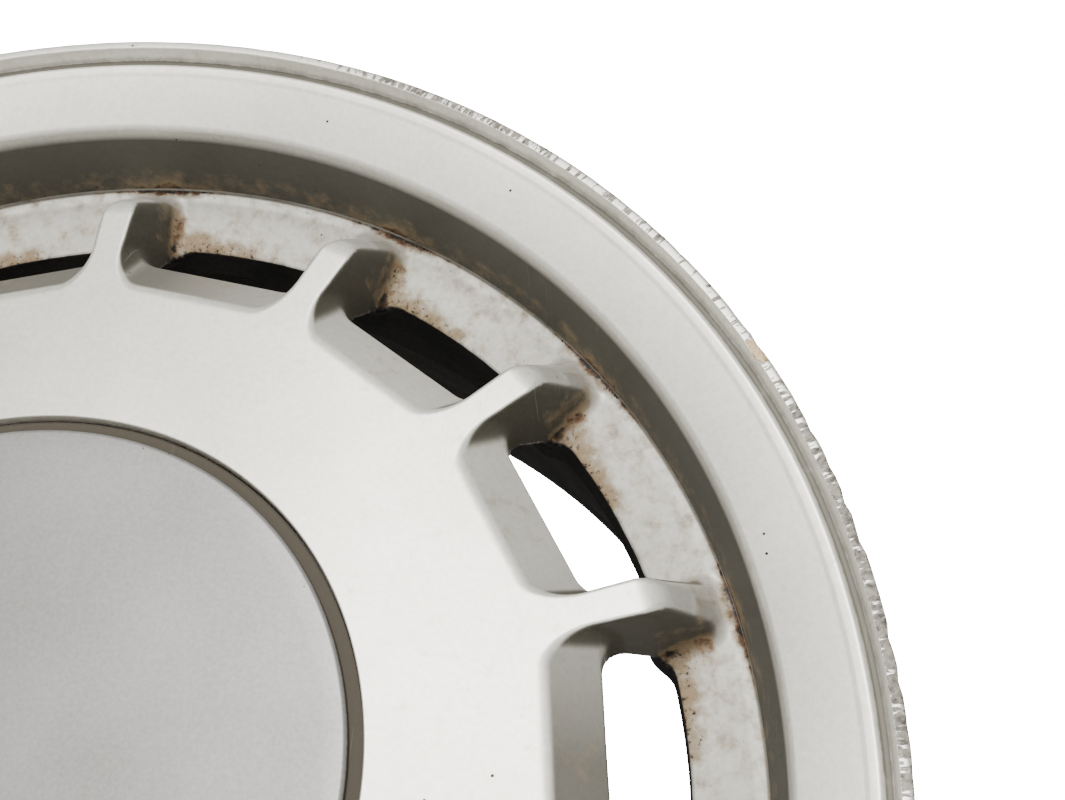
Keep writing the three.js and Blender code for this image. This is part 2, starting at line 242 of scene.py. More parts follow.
def soft_min(a, b, size):
    """Two solids as one, with a fillet between them."""
    return -soft_max(-a, -b, size)


def half_plane(x, y, x0, y0, x1, y1):
    """Distance from a line, positive on the left of its direction."""
    length = math.hypot(x1 - x0, y1 - y0)
    return ((x1 - x0) * (y - y0) - (y1 - y0) * (x - x0)) / length


spoke_half_width = 4.25
spoke_draft = 0.085
spoke_flare = 0.02
spoke_rear_depth = 44.0
rear_edge_start = 150.0
rear_edge_depth = 34.5
rear_edge_slope = 0.9
crest_end = 162.8
crest_end_depth = 15.6
tip_slope = 1.35
crest_round = 4.5
tip_round = 5.0
root_fillet = 6.5
floor_fillet = 3.6
edge_corner = 6.0
edge_round = 1.1
plate_edge_wall = 1.6
plate_rear_slope = 0.207
plate_rear_cosine = 0.98
hub_cone_radius = 98.0
hub_cone_depth = 34.3
hub_cone_slope = 1.04
floor_joint_radius = 158.5


def casting_field(r, a, depth):
    """Distance outside the casting, near enough, at radius r, angle a from a spoke's middle, and depth."""
    across = r * np.abs(np.sin(a))
    along = r * np.cos(a)
    to_window = r * np.cos(sector / 2 - np.abs(a))
    face_slope = (face_edge_depth - face_depth) / (face_edge_radius - recess_radius)
    face = face_depth + (r - recess_radius) * face_slope - depth
    tip = (crest_end_depth + (along - crest_end) * tip_slope - depth) / math.hypot(1, tip_slope)
    front = soft_max(face, tip, crest_round)
    # Seen from the front, the plate's edge and the spoke's sides join in one outline with round corners.
    chamfer = half_plane(to_window, depth, plate_radius, plate_edge_depth, face_edge_radius,
                         face_edge_depth)
    plate_edge = soft_max(chamfer, to_window - plate_radius - 0.2, 0.5)
    half = (spoke_half_width + spoke_draft * np.clip(depth - face_edge_depth, 0, 30)
            + spoke_flare * np.clip(along - 145, 0, 40))
    side = across - half
    outline = soft_min(plate_edge, soft_max(side, 118 - along, 0.5), root_fillet)
    # Behind, the plate is thin, the hub is a cone, and each spoke deepens towards the channel.
    plate_rear = depth - plate_edge_depth - plate_edge_wall - (plate_radius - r) * plate_rear_slope
    plate_rear = plate_rear * plate_rear_cosine
    hub_rear = depth - hub_cone_depth - (hub_cone_radius - r) * hub_cone_slope
    hub_rear = hub_rear / math.hypot(1, hub_cone_slope)
    rear_edge = depth - rear_edge_depth - (along - rear_edge_start) * rear_edge_slope
    rear_edge = rear_edge / math.hypot(1, rear_edge_slope)
    rear = soft_min(soft_min(plate_rear, hub_rear, 5), soft_max(rear_edge, depth - spoke_rear_depth, 3), 2)
    body = soft_max(soft_max(outline, tip, tip_round), front, edge_round)
    body = soft_max(body, rear, 1.0)
    body = soft_max(body, -soft_max(r - recess_radius, depth - ledge_depth, 0.2), 0.45)
    # The channel's floor stops at a round edge, with a round corner where it meets each spoke.
    floor_depth = corner_depth + (corner_radius - r) * floor_slope
    floor = (floor_depth - depth) / math.hypot(1, floor_slope)
    thin = (depth - floor_depth - floor_edge) / math.hypot(1, floor_slope)
    under = half_plane(r, depth, barrel_radius, barrel_depth, floor_edge_radius,
                       corner_depth + (corner_radius - floor_edge_radius) * floor_slope + floor_edge)
    ring_outline = soft_min(floor_edge_radius - r, soft_max(side, floor_joint_radius - along, 4), edge_corner)
    ring = soft_max(soft_max(floor, ring_outline, 0.9), soft_min(under, thin, 2), 0.7)
    return soft_min(body, ring, floor_fillet)


def graded(start, end, fine, coarse, growth, near):
    """Grid lines from start to end, close together near the places given."""
    lines = [start]
    while lines[-1] < end:
        gap = min(abs(lines[-1] - place) for place in near)
        lines.append(lines[-1] + min(coarse, fine + growth * gap))
    lines = np.array(lines)
    return start + (lines - start) * (end - start) / (lines[-1] - start)


def field_mesh(name, field, r_lines, a_lines, d_lines, copies):
    """Surface of a field over one sector, repeated round the axis. Points settle on the surface itself."""
    radius, angle, depth = np.meshgrid(r_lines, a_lines, d_lines, indexing="ij")
    inside = field(radius, angle, depth) < 0
    value = field(radius, angle, depth)
    shape = tuple(n - 1 for n in inside.shape)
    total = np.zeros(shape + (3,))
    crossings = np.zeros(shape)
    grid = np.stack([radius, angle, depth], -1)
    corner = [(i, j, k) for i in (0, 1) for j in (0, 1) for k in (0, 1)]
    for start in corner:
        for axis in range(3):
            if start[axis]:
                continue
            end = tuple(c + (n == axis) for n, c in enumerate(start))
            pick = [tuple(slice(c, c + n) for c, n in zip(which, shape)) for which in (start, end)]
            crossed = inside[pick[0]] != inside[pick[1]]
            gap = value[pick[0]] - value[pick[1]]
            part = np.where(crossed, value[pick[0]] / np.where(crossed, gap, 1), 0)[..., None]
            total += np.where(crossed[..., None], grid[pick[0]] * (1 - part) + grid[pick[1]] * part, 0)
            crossings += crossed
    used = crossings > 0
    places = total[used] / crossings[used][:, None]
    step = 1e-3
    for _ in range(6):
        here = field(*places.T)
        slopes = np.stack([
            (field(places[:, 0] + step, places[:, 1], places[:, 2]) - here) / step,
            (field(places[:, 0], places[:, 1] + step / places[:, 0], places[:, 2]) - here) / step,
            (field(places[:, 0], places[:, 1], places[:, 2] + step) - here) / step], -1)
        size = np.maximum((slopes ** 2).sum(-1), 0.05)
        move = np.clip((here / size)[:, None] * slopes, -0.3, 0.3)
        places -= move / np.stack([np.ones(len(places)), places[:, 0], np.ones(len(places))], -1)
    slopes /= np.linalg.norm(slopes, axis=-1, keepdims=True)
    label = -np.ones(shape, int)
    label[used] = np.arange(used.sum())
    quads = []
    for axis in range(3):
        one, two = [n for n in range(3) if n != axis]
        low = [slice(None)] * 3
        high = [slice(None)] * 3
        low[axis], high[axis] = slice(0, -1), slice(1, None)
        changed = np.argwhere(inside[tuple(low)] != inside[tuple(high)])
        goes_out = inside[tuple(low)][tuple(changed.T)]
        last = shape[1]
        if axis == 1:
            keep = np.all([(changed[:, n] > 0) & (changed[:, n] < shape[n]) for n in (0, 2)], axis=0)
        else:
            other = 2 - axis
            keep = (changed[:, other] > 0) & (changed[:, other] < shape[other]) & (changed[:, 1] < last)
        changed, goes_out = changed[keep], goes_out[keep]
        around = []
        for back_one, back_two in ((1, 1), (0, 1), (0, 0), (1, 0)):
            cell = changed.copy()
            cell[:, one] -= back_one
            cell[:, two] -= back_two
            before = cell[:, 1] < 0
            cell[before, 1] += last
            around.append((label[tuple(cell.T)], -before.astype(int)))
        turn = (axis != 1) != goes_out
        ids = np.stack([a[0] for a in around], -1)
        shift = np.stack([a[1] for a in around], -1)
        ids[~turn], shift[~turn] = ids[~turn][:, ::-1], shift[~turn][:, ::-1]
        quads.append((ids, shift))
    ids = np.concatenate([q[0] for q in quads])
    shift = np.concatenate([q[1] for q in quads])
    count = len(places)
    points, normals, faces = [], [], []
    for c in range(copies):
        a = places[:, 1] + math.pi / 2 + c * sector
        points.append(np.stack([places[:, 0] * np.cos(a), places[:, 2], places[:, 0] * np.sin(a)], -1))
        normals.append(np.stack([slopes[:, 0] * np.cos(a) - slopes[:, 1] * np.sin(a), slopes[:, 2],
                                 slopes[:, 0] * np.sin(a) + slopes[:, 1] * np.cos(a)], -1))
        faces.append(ids + ((c + shift) % copies) * count)
    made = mesh_object(name, np.concatenate(points), np.concatenate(faces).tolist())
    return made, np.concatenate(normals)


radius_lines = graded(86, 181.6, 0.45, 5.0, 0.16, [recess_radius, face_edge_radius, 135, 141, plate_radius,
                                                   158, floor_edge_radius, 176])
angle_lines = graded(-12, 12, 0.16, 1.3, 0.16, [-1.7, 1.7, -2.4, 2.4])
depth_lines = graded(9.4, 53.5, 0.45, 2.2, 0.2, [face_depth, face_edge_depth, plate_edge_depth, corner_depth,
                                                 spoke_rear_depth])
spokes, spoke_normals = field_mesh("spokes", casting_field, radius_lines, np.radians(angle_lines),
                                   depth_lines, window_count)
spokes.data.normals_split_custom_set_from_vertices(spoke_normals.tolist())

# The hub under the cap: ledge, well with five bolt seats, bore, and the machined pad behind.
hub_line = rounded([
    (bore_radius, hub_floor_depth + 1), (bore_radius + 1, hub_floor_depth, 0.3),
    (cap_well_radius, hub_floor_depth, 3), (cap_well_radius, ledge_depth, 0.4),
    (recess_radius - 2, ledge_depth), (recess_radius - 1, ledge_depth + 3), (97, 30), (96.5, 35.5),
    (82, 51, 3), (pad_radius, pad_depth, 0.4),
    (bore_radius + 1.5, pad_depth, 0.3), (bore_radius, pad_depth - 1.5),
])
hub_segments = 180
hub = turned("hub", hub_line, hub_segments)
outward(hub)
bolt_count, bolt_circle, bolt_hole, bolt_seat, bolt_segments = 5, 56.0, 7.5, 12.0, 48
bolt_line = rounded([(0, pad_depth + 4), (bolt_hole, pad_depth + 4), (bolt_hole, pad_depth - 8),
                     (bolt_seat, hub_floor_depth + 0.5, 0.4), (bolt_seat, hub_floor_depth - 4),
                     (0, hub_floor_depth - 4)])
for b in range(bolt_count):
    angle = math.pi / 2 + b * 2 * math.pi / bolt_count
    drill = turned("drill", bolt_line, bolt_segments, closed=False)
    outward(drill)
    drill.location = (bolt_circle * MM * math.cos(angle), 0, bolt_circle * MM * math.sin(angle))
    cut = hub.modifiers.new("bolt_hole", "BOOLEAN")
    cut.object, cut.operation, cut.solver = drill, "DIFFERENCE", "EXACT"
    bpy.context.view_layer.update()
    with bpy.context.temp_override(object=hub, active_object=hub, selected_objects=[hub]):
        bpy.ops.object.modifier_apply(modifier=cut.name)
    bpy.data.objects.remove(drill)


# Where the wear lies: each kind of dirt, damage and painted shade is a weight stored at every point, read by
# the finishes.
# Two numbers in between() are where a weight fades in, or fades out where the larger comes first.
def between(value, low, high):
    """Rises smoothly from 0 at low to 1 at high, or falls where low is above high."""
    part = np.clip((value - low) / (high - low), 0, 1)
    return part * part * (3 - 2 * part)


def surface(made):
    """Where each point of a piece lies and which way it faces, in the terms that wear follows."""
    mesh = made.data
    points = np.empty(3 * len(mesh.vertices), np.float32)
    facing = np.empty_like(points)
    mesh.vertices.foreach_get("co", points)
    mesh.vertex_normals.foreach_get("vector", facing)
    x, y, z = points.reshape(-1, 3).T / MM
    side, back, up = facing.reshape(-1, 3).T
    r = np.hypot(x, z)
    turn = np.degrees(np.arctan2(z, x)) % 360
    step = 360 / window_count
    from_spoke = (turn - 90 + step / 2) % step - step / 2
    across = r * np.sin(np.radians(from_spoke))
    outwards = (side * x + up * z) / r
    depth = y - front_y / MM
    return SimpleNamespace(
        r=r, depth=depth, turn=turn, back=back, from_spoke=from_spoke, across=across, outwards=outwards,
        sideways=np.sqrt(np.clip(1 - back ** 2 - outwards ** 2, 0, 1)),
        beside=-across - spoke_half_width - 2.5,
        from_corner=np.hypot(r - corner_radius, depth - corner_depth),
        channel=between(depth, 24, 28) * between(r, 158, 160) * between(back, 0.2, -0.1))


tip_shelter = 4.2           # degrees of the rim that a spoke's tip shelters
shelter_lean = 1.0          # the wheel has stood so that water ran a little to one side of each tip
floor_share = 0.55          # dirt creeps less far over the floor than up the wall
rust_creep = (1.4, 7.0)     # how far each creeps out of the corner, and how much farther over a tip
grit_creep = (1.0, 5.0)
wash_creep = (4.0, 9.0)
fillet_reach = 5.5          # how far dirt spreads from a spoke's side, and up from the floor
fillet_rise = 6.0
edge_width = (8.0, 6.5)     # the stained band along the floor's edge, and its extra width near a spoke


def channel_dirt(at):
    """Rust and grit in the corner under the ring, thickest above each spoke's tip, with dried road wash
    round them, down the clockwise side of each spoke and along the floor's edge."""
    above_tip = np.exp(-((at.from_spoke + shelter_lean) / tip_shelter) ** 2)
    creep = np.where(at.r > corner_radius - 0.2, 1.0, floor_share)
    in_rust, in_grit, in_wash = (between(at.from_corner, (width + more * above_tip) * creep, 0.0)
                                 for width, more in (rust_creep, grit_creep, wash_creep))
    above_floor = corner_depth + (corner_radius - at.r) * floor_slope - at.depth
    in_fillet = (at.channel * between(at.r, 179, 170) * (at.across < 0)
                 * np.exp(-(np.clip(at.beside, 0,
                                    99) / fillet_reach) ** 2 - (above_floor / fillet_rise) ** 2))
    band = edge_width[0] + edge_width[1] * between(at.beside, 30, 6)
    along_edge = (at.channel * between(at.beside, 0, 2)
                  * between(at.r, floor_edge_radius + band, floor_edge_radius + 1.0)
                  * between(at.r, floor_edge_radius - 2, floor_edge_radius))
    far_side = (at.channel * between(at.across - spoke_half_width, 9, 2) * (at.across > 0)
                * between(at.r, 176, 168))
    plate_corners = (between(at.r, 129, 133) * between(at.r, 150, 146)
                     * between(np.abs(at.from_spoke), 6.5, 9.5))
    wall_specks = at.channel * between(at.from_corner, 14, 4) * (at.r > corner_radius)
    wash = np.max([0.7 * along_edge, 0.75 * in_fillet, 0.42 * far_side, 0.36 * at.channel,
                   0.3 * plate_corners,
                   at.channel * in_wash * (0.42 + 0.3 * above_tip)], axis=0)
    rust = np.maximum(at.channel * in_rust * (0.46 + 0.17 * above_tip), 0.52 * in_fillet)
    grime = np.max([at.channel * in_grit * (0.44 + 0.13 * above_tip), 0.34 * wall_specks, 0.44 * in_fillet,
                    0.42 * along_edge, 0.3 * at.channel], axis=0)
    return {"road_wash": wash, "rust": rust, "grime": grime}


def dust_and_shade_weights(at):
    """Brake dust on everything that faces the brake, and painted shade a little way up the sides of the
    windows, deep down.
    """
    floor_edge_back = (between(at.r, 160.5, 162) * between(at.r, 171, 168) * between(at.back, -0.85, -0.5)
                       * between(at.depth, 38, 40.5))
    behind = between(at.back, -0.02, 0.35) * between(at.r, 182, 180)
    # painted shade deep in the windows, where the spoke sides fall dark
    deep_shade = 0.42 * between(at.depth, 30, 44) * between(at.r, 168, 161) * between(at.r, 138, 142)
    underside = (between(at.outwards, -0.1, -0.35) * between(at.back, -0.6, -0.4)
                 * between(at.depth, 35, 38) * between(at.r, 148, 153) * between(at.r, 182, 180))
    return {"brake_dust_and_shade": np.max([floor_edge_back, behind, deep_shade, underside], axis=0)}


key_lit_turn = 44.0           # the side of the wheel, in degrees, facing the key light, whose window walls get the least painted shade


def painted_shade_and_film(at):
    """A film on the step wall and the sides of the windows, which are never polished, whose colour is painted
    shade:
    darker on window walls turned from the key light, beside each spoke's clockwise side, and on the floor
    near the top.
    """
    # painted shade on the step wall, which faces away from the key light
    wall = (0.87 * between(at.r, corner_radius - 0.8, corner_radius) * between(at.r, 186, 183.2)
            * between(at.depth, 10.6, 15) * between(at.back, 0.2, 0))
    hub_side = between(at.outwards, 0.2, 0.6) * between(at.r, 152, 147)
    # painted shade on the window walls, more the farther they turn from the key light
    hub_side_shade = np.minimum(0.34 + 2.0 * (1 - np.cos(np.radians(at.turn - key_lit_turn))), 0.8)
    # painted shade on window sides that face sideways
    in_window = (np.maximum(hub_side_shade * hub_side, 0.95 * between(at.sideways, 0.3, 0.8))
                 * between(at.r, 129, 133) * between(at.r, 180, 172) * between(at.back, 0.3, 0))
    # painted shadow that each spoke casts on the floor beside its clockwise side
    shadow_beside_spoke = (0.62 * np.exp(-(np.clip(at.beside, 0, 99) / 4.5) ** 2) * (at.across < 0)
                    * between(at.r, 181, 174))
    # the channel floor is painted darker as shade, most towards the top under the step wall
    floor_film_and_shade = (np.maximum(0.31 + 0.1 * between(at.turn, 45, 80), shadow_beside_spoke) * at.channel
                  * between(at.from_corner, 1.5, 4))
    return {"film_and_painted_shade": np.max([wall, floor_film_and_shade, in_window], axis=0)}


def lip_damage(at):
    """Kerb bites: fine ticks over the top of the lip, deeper chips low on one side, one patch of bare
    yellowed alloy between them, and a darker grey in the groove inside the lip."""
    on_lip = between(at.r, lip_radius - 3.6, lip_radius - 2.6) * between(at.depth, 5.4, 4.4)
    bitten = (0.33 + 0.13 * between(np.abs(at.turn - 52), 24, 14) + 0.2 * between(np.abs(at.turn - 14), 22,
                                                                                  12)
              + 0.05 * np.sin(np.radians(at.turn * 7)))
    in_groove = (between(at.r, lip_radius - 6.2, lip_radius - 5.2) * between(at.depth, 7, 6)
                 * between(at.r, lip_radius - 3.3, lip_radius - 4.0) * between(at.depth, 2.6, 4.0))
    return {"kerb_bites": on_lip * bitten, "corrosion": on_lip * np.exp(-((at.turn - 30.9) / 1.1) ** 2),
            "groove_darkening": in_groove}


def store_wear_and_shade(made):
    """Stores every kind of wear and painted shade on a piece."""
    at = surface(made)
    for name, weight in {**channel_dirt(at), **dust_and_shade_weights(at), **painted_shade_and_film(at), **lip_damage(at)}.items():
        stored = made.data.attributes.new(name, "FLOAT", "POINT")
        stored.data.foreach_set("value", np.clip(weight, 0, 1).astype(np.float32))


def add(tree, kind, links=None, **settings):
    """Adds a node with its settings. links fills its inputs from nodes, sockets or values."""
    made = tree.nodes.new(kind)
    for key, value in settings.items():
        setattr(made, key, value)
    for key, value in (links or {}).items():
        value = value.outputs[0] if isinstance(value, bpy.types.Node) else value
        if isinstance(value, bpy.types.NodeSocket):
            tree.links.new(value, made.inputs[key])
        else:
            made.inputs[key].default_value = value
    return made


def new_finish(name, **sockets):
    """A material with its Principled shader's own sockets set."""
    made = bpy.data.materials.new(name)
    made.use_nodes = True
    shader = made.node_tree.nodes["Principled BSDF"]
    for key, value in sockets.items():
        shader.inputs[key.replace("_", " ")].default_value = value
    return made, made.node_tree, shader


def per_mm(size):
    """The texture scale that gives a pattern of this size in millimetres."""
    return 1 / (size * MM)


def stained(tree, paint, worn, stain, weight, grain, soft):
    """Lays a colour over the paint, for stains and for painted shade alike, where its stored weight beats the
    grain, and adds to what is worn.
    """
    stored = add(tree, "ShaderNodeAttribute", attribute_name=weight).outputs["Fac"]
    over = add(tree, "ShaderNodeMath", {0: stored, 1: grain}, operation="SUBTRACT")
    amount = add(tree, "ShaderNodeMapRange", {0: over, 1: -soft, 2: soft}, interpolation_type="SMOOTHSTEP")
    covered = add(tree, "ShaderNodeMix", {0: amount, 6: paint, 7: stain}, data_type="RGBA").outputs[2]
    return covered, add(tree, "ShaderNodeMath", {0: worn, 1: amount}, operation="MAXIMUM")


def round_the_rim(tree, place):
    """A vector of the distance round the rim, out from the axis, and back from the front."""
    parts = add(tree, "ShaderNodeSeparateXYZ", {0: place})
    x, y, z = parts.outputs
    turn = add(tree, "ShaderNodeMath", {0: z, 1: x}, operation="ARCTAN2")
    arc = add(tree, "ShaderNodeMath", {0: turn, 1: lip_radius * MM}, operation="MULTIPLY")
    level = add(tree, "ShaderNodeCombineXYZ", {0: x, 1: z})
    radius = add(tree, "ShaderNodeVectorMath", {0: level}, operation="LENGTH").outputs["Value"]
    return add(tree, "ShaderNodeCombineXYZ", {0: arc, 1: radius, 2: y})


def specks(tree, place, spacing, size):
    """Scattered dots of a size in millimetres, one in every few cells of the spacing."""
    cells = add(tree, "ShaderNodeTexVoronoi", {"Vector": place, "Scale": per_mm(spacing)})
    chosen = add(tree, "ShaderNodeSeparateColor", {0: cells.outputs["Color"]})
    few = add(tree, "ShaderNodeMath", {0: chosen, 1: 0.66}, operation="GREATER_THAN")
    dot = add(tree, "ShaderNodeMapRange",
              {0: cells.outputs["Distance"], 1: size / spacing, 2: 0.55 * size / spacing},
              interpolation_type="SMOOTHSTEP")
    return add(tree, "ShaderNodeMath", {0: few, 1: dot}, operation="MULTIPLY")


def scratches(tree, place, length, width, lean):
    """Hair scratches of a length and width in millimetres, all leaning one way, in scattered patches."""
    leaning = add(tree, "ShaderNodeMapping", {"Vector": place, "Rotation": (0, lean, 0),
                                              "Scale": (1 / width, 1 / length, 1 / length)})
    lines = add(tree, "ShaderNodeTexNoise", {"Vector": leaning, "Scale": 1 / MM, "Detail": 1.0})
    line = add(tree, "ShaderNodeMapRange", {0: lines, 1: 0.7, 2: 0.74}, interpolation_type="SMOOTHSTEP")
    patches = add(tree, "ShaderNodeTexNoise", {"Vector": place, "Scale": per_mm(35), "Detail": 1.0})
    patch = add(tree, "ShaderNodeMapRange", {0: patches, 1: 0.52, 2: 0.6}, interpolation_type="SMOOTHSTEP")
    return add(tree, "ShaderNodeMath", {0: line, 1: patch}, operation="MULTIPLY")


def silver_lacquer():
    """Silver metallic lacquer: pale and even face on, darker where it turns away, as its flakes lie flat.
    Dirt, rust, bare alloy and painted shade show through or over it wherever the casting's weights say."""
    made, tree, shader = new_finish("silver_lacquer_on_cast_alloy", Coat_Weight=0.12, Coat_Roughness=0.3)
    place = add(tree, "ShaderNodeTexCoord").outputs["Object"]
    grit = add(tree, "ShaderNodeTexNoise",
               {"Vector": place, "Scale": per_mm(1.5), "Detail": 5.0, "Roughness": 0.7})
    blotch = add(tree, "ShaderNodeTexNoise",
                 {"Vector": place, "Scale": per_mm(5), "Detail": 5.0, "Roughness": 0.65})
    cloud = add(tree, "ShaderNodeTexNoise", {"Vector": place, "Scale": per_mm(50), "Detail": 2.0})
    orange_peel = add(tree, "ShaderNodeTexNoise", {"Vector": place, "Scale": per_mm(0.9), "Detail": 2.0})

    uneven = add(tree, "ShaderNodeMath", {0: cloud, 1: grit}, operation="ADD")
    tone = add(tree, "ShaderNodeMapRange", {0: uneven, 1: 0.68, 2: 1.32})
    paint = add(tree, "ShaderNodeMix", {0: tone, 6: linear("#cdcbc2"), 7: linear("#ebe9e1")},
                data_type="RGBA").outputs[2]
    # Painted shade: the film weight darkens the step wall, the window sides and the channel floor.
    paint, worn = stained(tree, paint, 0.0, linear("#3b392f"), "film_and_painted_shade", 0.5, 0.5)
    paint, worn = stained(tree, paint, worn, linear("#86745a"), "road_wash", blotch, 0.24)
    paint, worn = stained(tree, paint, worn, linear("#4b2f17"), "rust", blotch, 0.13)
    paint, worn = stained(tree, paint, worn, linear("#0f0c09"), "grime", grit, 0.07)
    # A darker grey laid in the groove inside the lip.
    paint, worn = stained(tree, paint, worn, linear("#5d5a51"), "groove_darkening", blotch, 0.45)
    # Brake dust, near black, with painted shade deep in the windows.
    paint, worn = stained(tree, paint, worn, linear("#090807"), "brake_dust_and_shade", blotch, 0.3)

    # Kerb bites run straight across the lip, down to dull alloy with dirt rubbed in.
    round_rim = round_the_rim(tree, place)
    across_lip = add(tree, "ShaderNodeVectorMath", {0: round_rim, 1: (1.0, 0.2, 0.5)}, operation="MULTIPLY")
    ticks = add(tree, "ShaderNodeTexNoise",
                {"Vector": across_lip, "Scale": per_mm(1.7), "Detail": 3.0, "Roughness": 0.7})
    bare_tone = add(tree, "ShaderNodeMapRange", {0: grit, 1: 0.35, 2: 0.65})
    bare = add(tree, "ShaderNodeMix", {0: bare_tone, 6: linear("#3a3732"), 7: linear("#9c978c")},
               data_type="RGBA").outputs[2]
    clean = worn
    paint, worn = stained(tree, paint, worn, bare, "kerb_bites", ticks, 0.04)
    gold = add(tree, "ShaderNodeMix", {0: bare_tone, 6: linear("#8a6a3c"), 7: linear("#d8c6a2")},
               data_type="RGBA").outputs[2]
    paint, worn = stained(tree, paint, worn, gold, "corrosion", blotch, 0.1)
    bites = add(tree, "ShaderNodeMath", {0: worn, 1: clean}, operation="SUBTRACT")

    pits = specks(tree, place, 7.5, 0.42)
    paint = add(tree, "ShaderNodeMix", {0: pits, 6: paint, 7: linear("#1c1915")},
                data_type="RGBA").outputs[2]
    hairs = scratches(tree, place, 30, 0.3, 0.6)
    faint = add(tree, "ShaderNodeMath", {0: hairs, 1: 0.3}, operation="MULTIPLY")
    paint = add(tree, "ShaderNodeMix", {0: faint, 6: paint, 7: linear("#8c887e")},
                data_type="RGBA").outputs[2]
    tree.links.new(paint, shader.inputs["Base Color"])

    flake = add(tree, "ShaderNodeMapRange", {0: worn, 1: 0.0, 2: 1.0, 3: 0.72, 4: 0.05})
    tree.links.new(flake.outputs[0], shader.inputs["Metallic"])
    rough = add(tree, "ShaderNodeMapRange", {0: worn, 1: 0.0, 2: 1.0, 3: 0.5, 4: 0.85})
    tree.links.new(rough.outputs[0], shader.inputs["Roughness"])

    peel = add(tree, "ShaderNodeMath", {0: orange_peel, 1: 0.012}, operation="MULTIPLY")
    crust = add(tree, "ShaderNodeMath", {0: worn, 1: grit}, operation="MULTIPLY")
    relief = add(tree, "ShaderNodeMath", {0: crust, 1: 0.12, 2: peel}, operation="MULTIPLY_ADD")
    relief = add(tree, "ShaderNodeMath", {0: bites, 1: -0.35, 2: relief}, operation="MULTIPLY_ADD")
    relief = add(tree, "ShaderNodeMath", {0: pits, 1: -0.2, 2: relief}, operation="MULTIPLY_ADD")
    bump = add(tree, "ShaderNodeBump", {"Strength": 1.0, "Distance": MM, "Height": relief})
    tree.links.new(bump.outputs[0], shader.inputs["Normal"])
    return made


def dust_and_painted_shade():
    """Lacquer under baked-on brake dust, painted nearly black brown as shade: dead matt, thinner where water
    has run.
    """
    made, tree, shader = new_finish("dust_and_painted_shade", Roughness=0.9, Specular_IOR_Level=0.2)
    place = add(tree, "ShaderNodeTexCoord").outputs["Object"]
    soot = add(tree, "ShaderNodeTexNoise",
               {"Vector": place, "Scale": per_mm(18), "Detail": 5.0, "Roughness": 0.6})
    thin = add(tree, "ShaderNodeMapRange", {0: soot, 1: 0.4, 2: 0.72})
    colour = add(tree, "ShaderNodeMix", {0: thin, 6: linear("#060504"), 7: linear("#211e18")},
                 data_type="RGBA")
    tree.links.new(colour.outputs[2], shader.inputs["Base Color"])
    grain = add(tree, "ShaderNodeTexNoise", {"Vector": place, "Scale": per_mm(1.2), "Detail": 4.0})
    bump = add(tree, "ShaderNodeBump", {"Strength": 0.6, "Distance": 0.2 * MM, "Height": grain})
    tree.links.new(bump.outputs[0], shader.inputs["Normal"])
    return made


def tyre_seat_lacquer():
    """Grey lacquer with black rubber smears that run round it, where tyre beads have slid on and off."""
    made, tree, shader = new_finish("tyre_seat_lacquer", Metallic=0.3)
    place = add(tree, "ShaderNodeTexCoord").outputs["Object"]
    drawn = add(tree, "ShaderNodeVectorMath", {0: round_the_rim(tree, place), 1: (0.15, 1.0, 1.0)},
                operation="MULTIPLY")
    rubbed = add(tree, "ShaderNodeTexNoise",
                 {"Vector": drawn, "Scale": per_mm(3), "Detail": 5.0, "Roughness": 0.65})
    smear = add(tree, "ShaderNodeMapRange", {0: rubbed, 1: 0.45, 2: 0.72, 4: 0.8},
                interpolation_type="SMOOTHSTEP")
    colour = add(tree, "ShaderNodeMix", {0: smear, 6: linear("#a3a29d"), 7: linear("#262524")},
                 data_type="RGBA")
    tree.links.new(colour.outputs[2], shader.inputs["Base Color"])
    rough = add(tree, "ShaderNodeMapRange", {0: rubbed, 1: 0.3, 2: 0.7, 3: 0.42, 4: 0.66})
    tree.links.new(rough.outputs[0], shader.inputs["Roughness"])
    return made


def faced_alloy():
    """Cast alloy faced on a lathe: bright grey metal with fine rings, stained brown where it meets a hub."""
    made, tree, shader = new_finish("faced_cast_alloy", Metallic=1.0)
    place = add(tree, "ShaderNodeTexCoord").outputs["Object"]
    rings = add(tree, "ShaderNodeVectorMath", {0: round_the_rim(tree, place), 1: (0.02, 1.0, 1.0)},
                operation="MULTIPLY")
    cut = add(tree, "ShaderNodeTexNoise", {"Vector": rings, "Scale": per_mm(0.5), "Detail": 2.0})
    blotch = add(tree, "ShaderNodeTexNoise",
                 {"Vector": place, "Scale": per_mm(9), "Detail": 5.0, "Roughness": 0.7})
    stain = add(tree, "ShaderNodeMapRange", {0: blotch, 1: 0.48, 2: 0.66, 4: 0.8},
                interpolation_type="SMOOTHSTEP")
    colour = add(tree, "ShaderNodeMix", {0: stain, 6: linear("#b5b3ae"), 7: linear("#5b4634")},
                 data_type="RGBA")
    tree.links.new(colour.outputs[2], shader.inputs["Base Color"])
    rough = add(tree, "ShaderNodeMapRange", {0: stain, 1: 0.0, 2: 0.8, 3: 0.32, 4: 0.75})
    tree.links.new(rough.outputs[0], shader.inputs["Roughness"])
    bump = add(tree, "ShaderNodeBump", {"Strength": 0.4, "Distance": 0.03 * MM, "Height": cut})
    tree.links.new(bump.outputs[0], shader.inputs["Normal"])
    return made


def hub_slot(r, depth):
    """The hub's finish: faced pad, bore and bolt holes, baked dust painted near black as shade on the cone
    behind, lacquered well.
    """
    in_bolt_hole = depth > hub_floor_depth + 0.3 and r < pad_radius - 6
    if depth > pad_depth - 0.8 or r < bore_radius + 1.2 or in_bolt_hole:
        return faced
    return dusted_and_shaded if r > cap_well_radius + 4 else lacquered


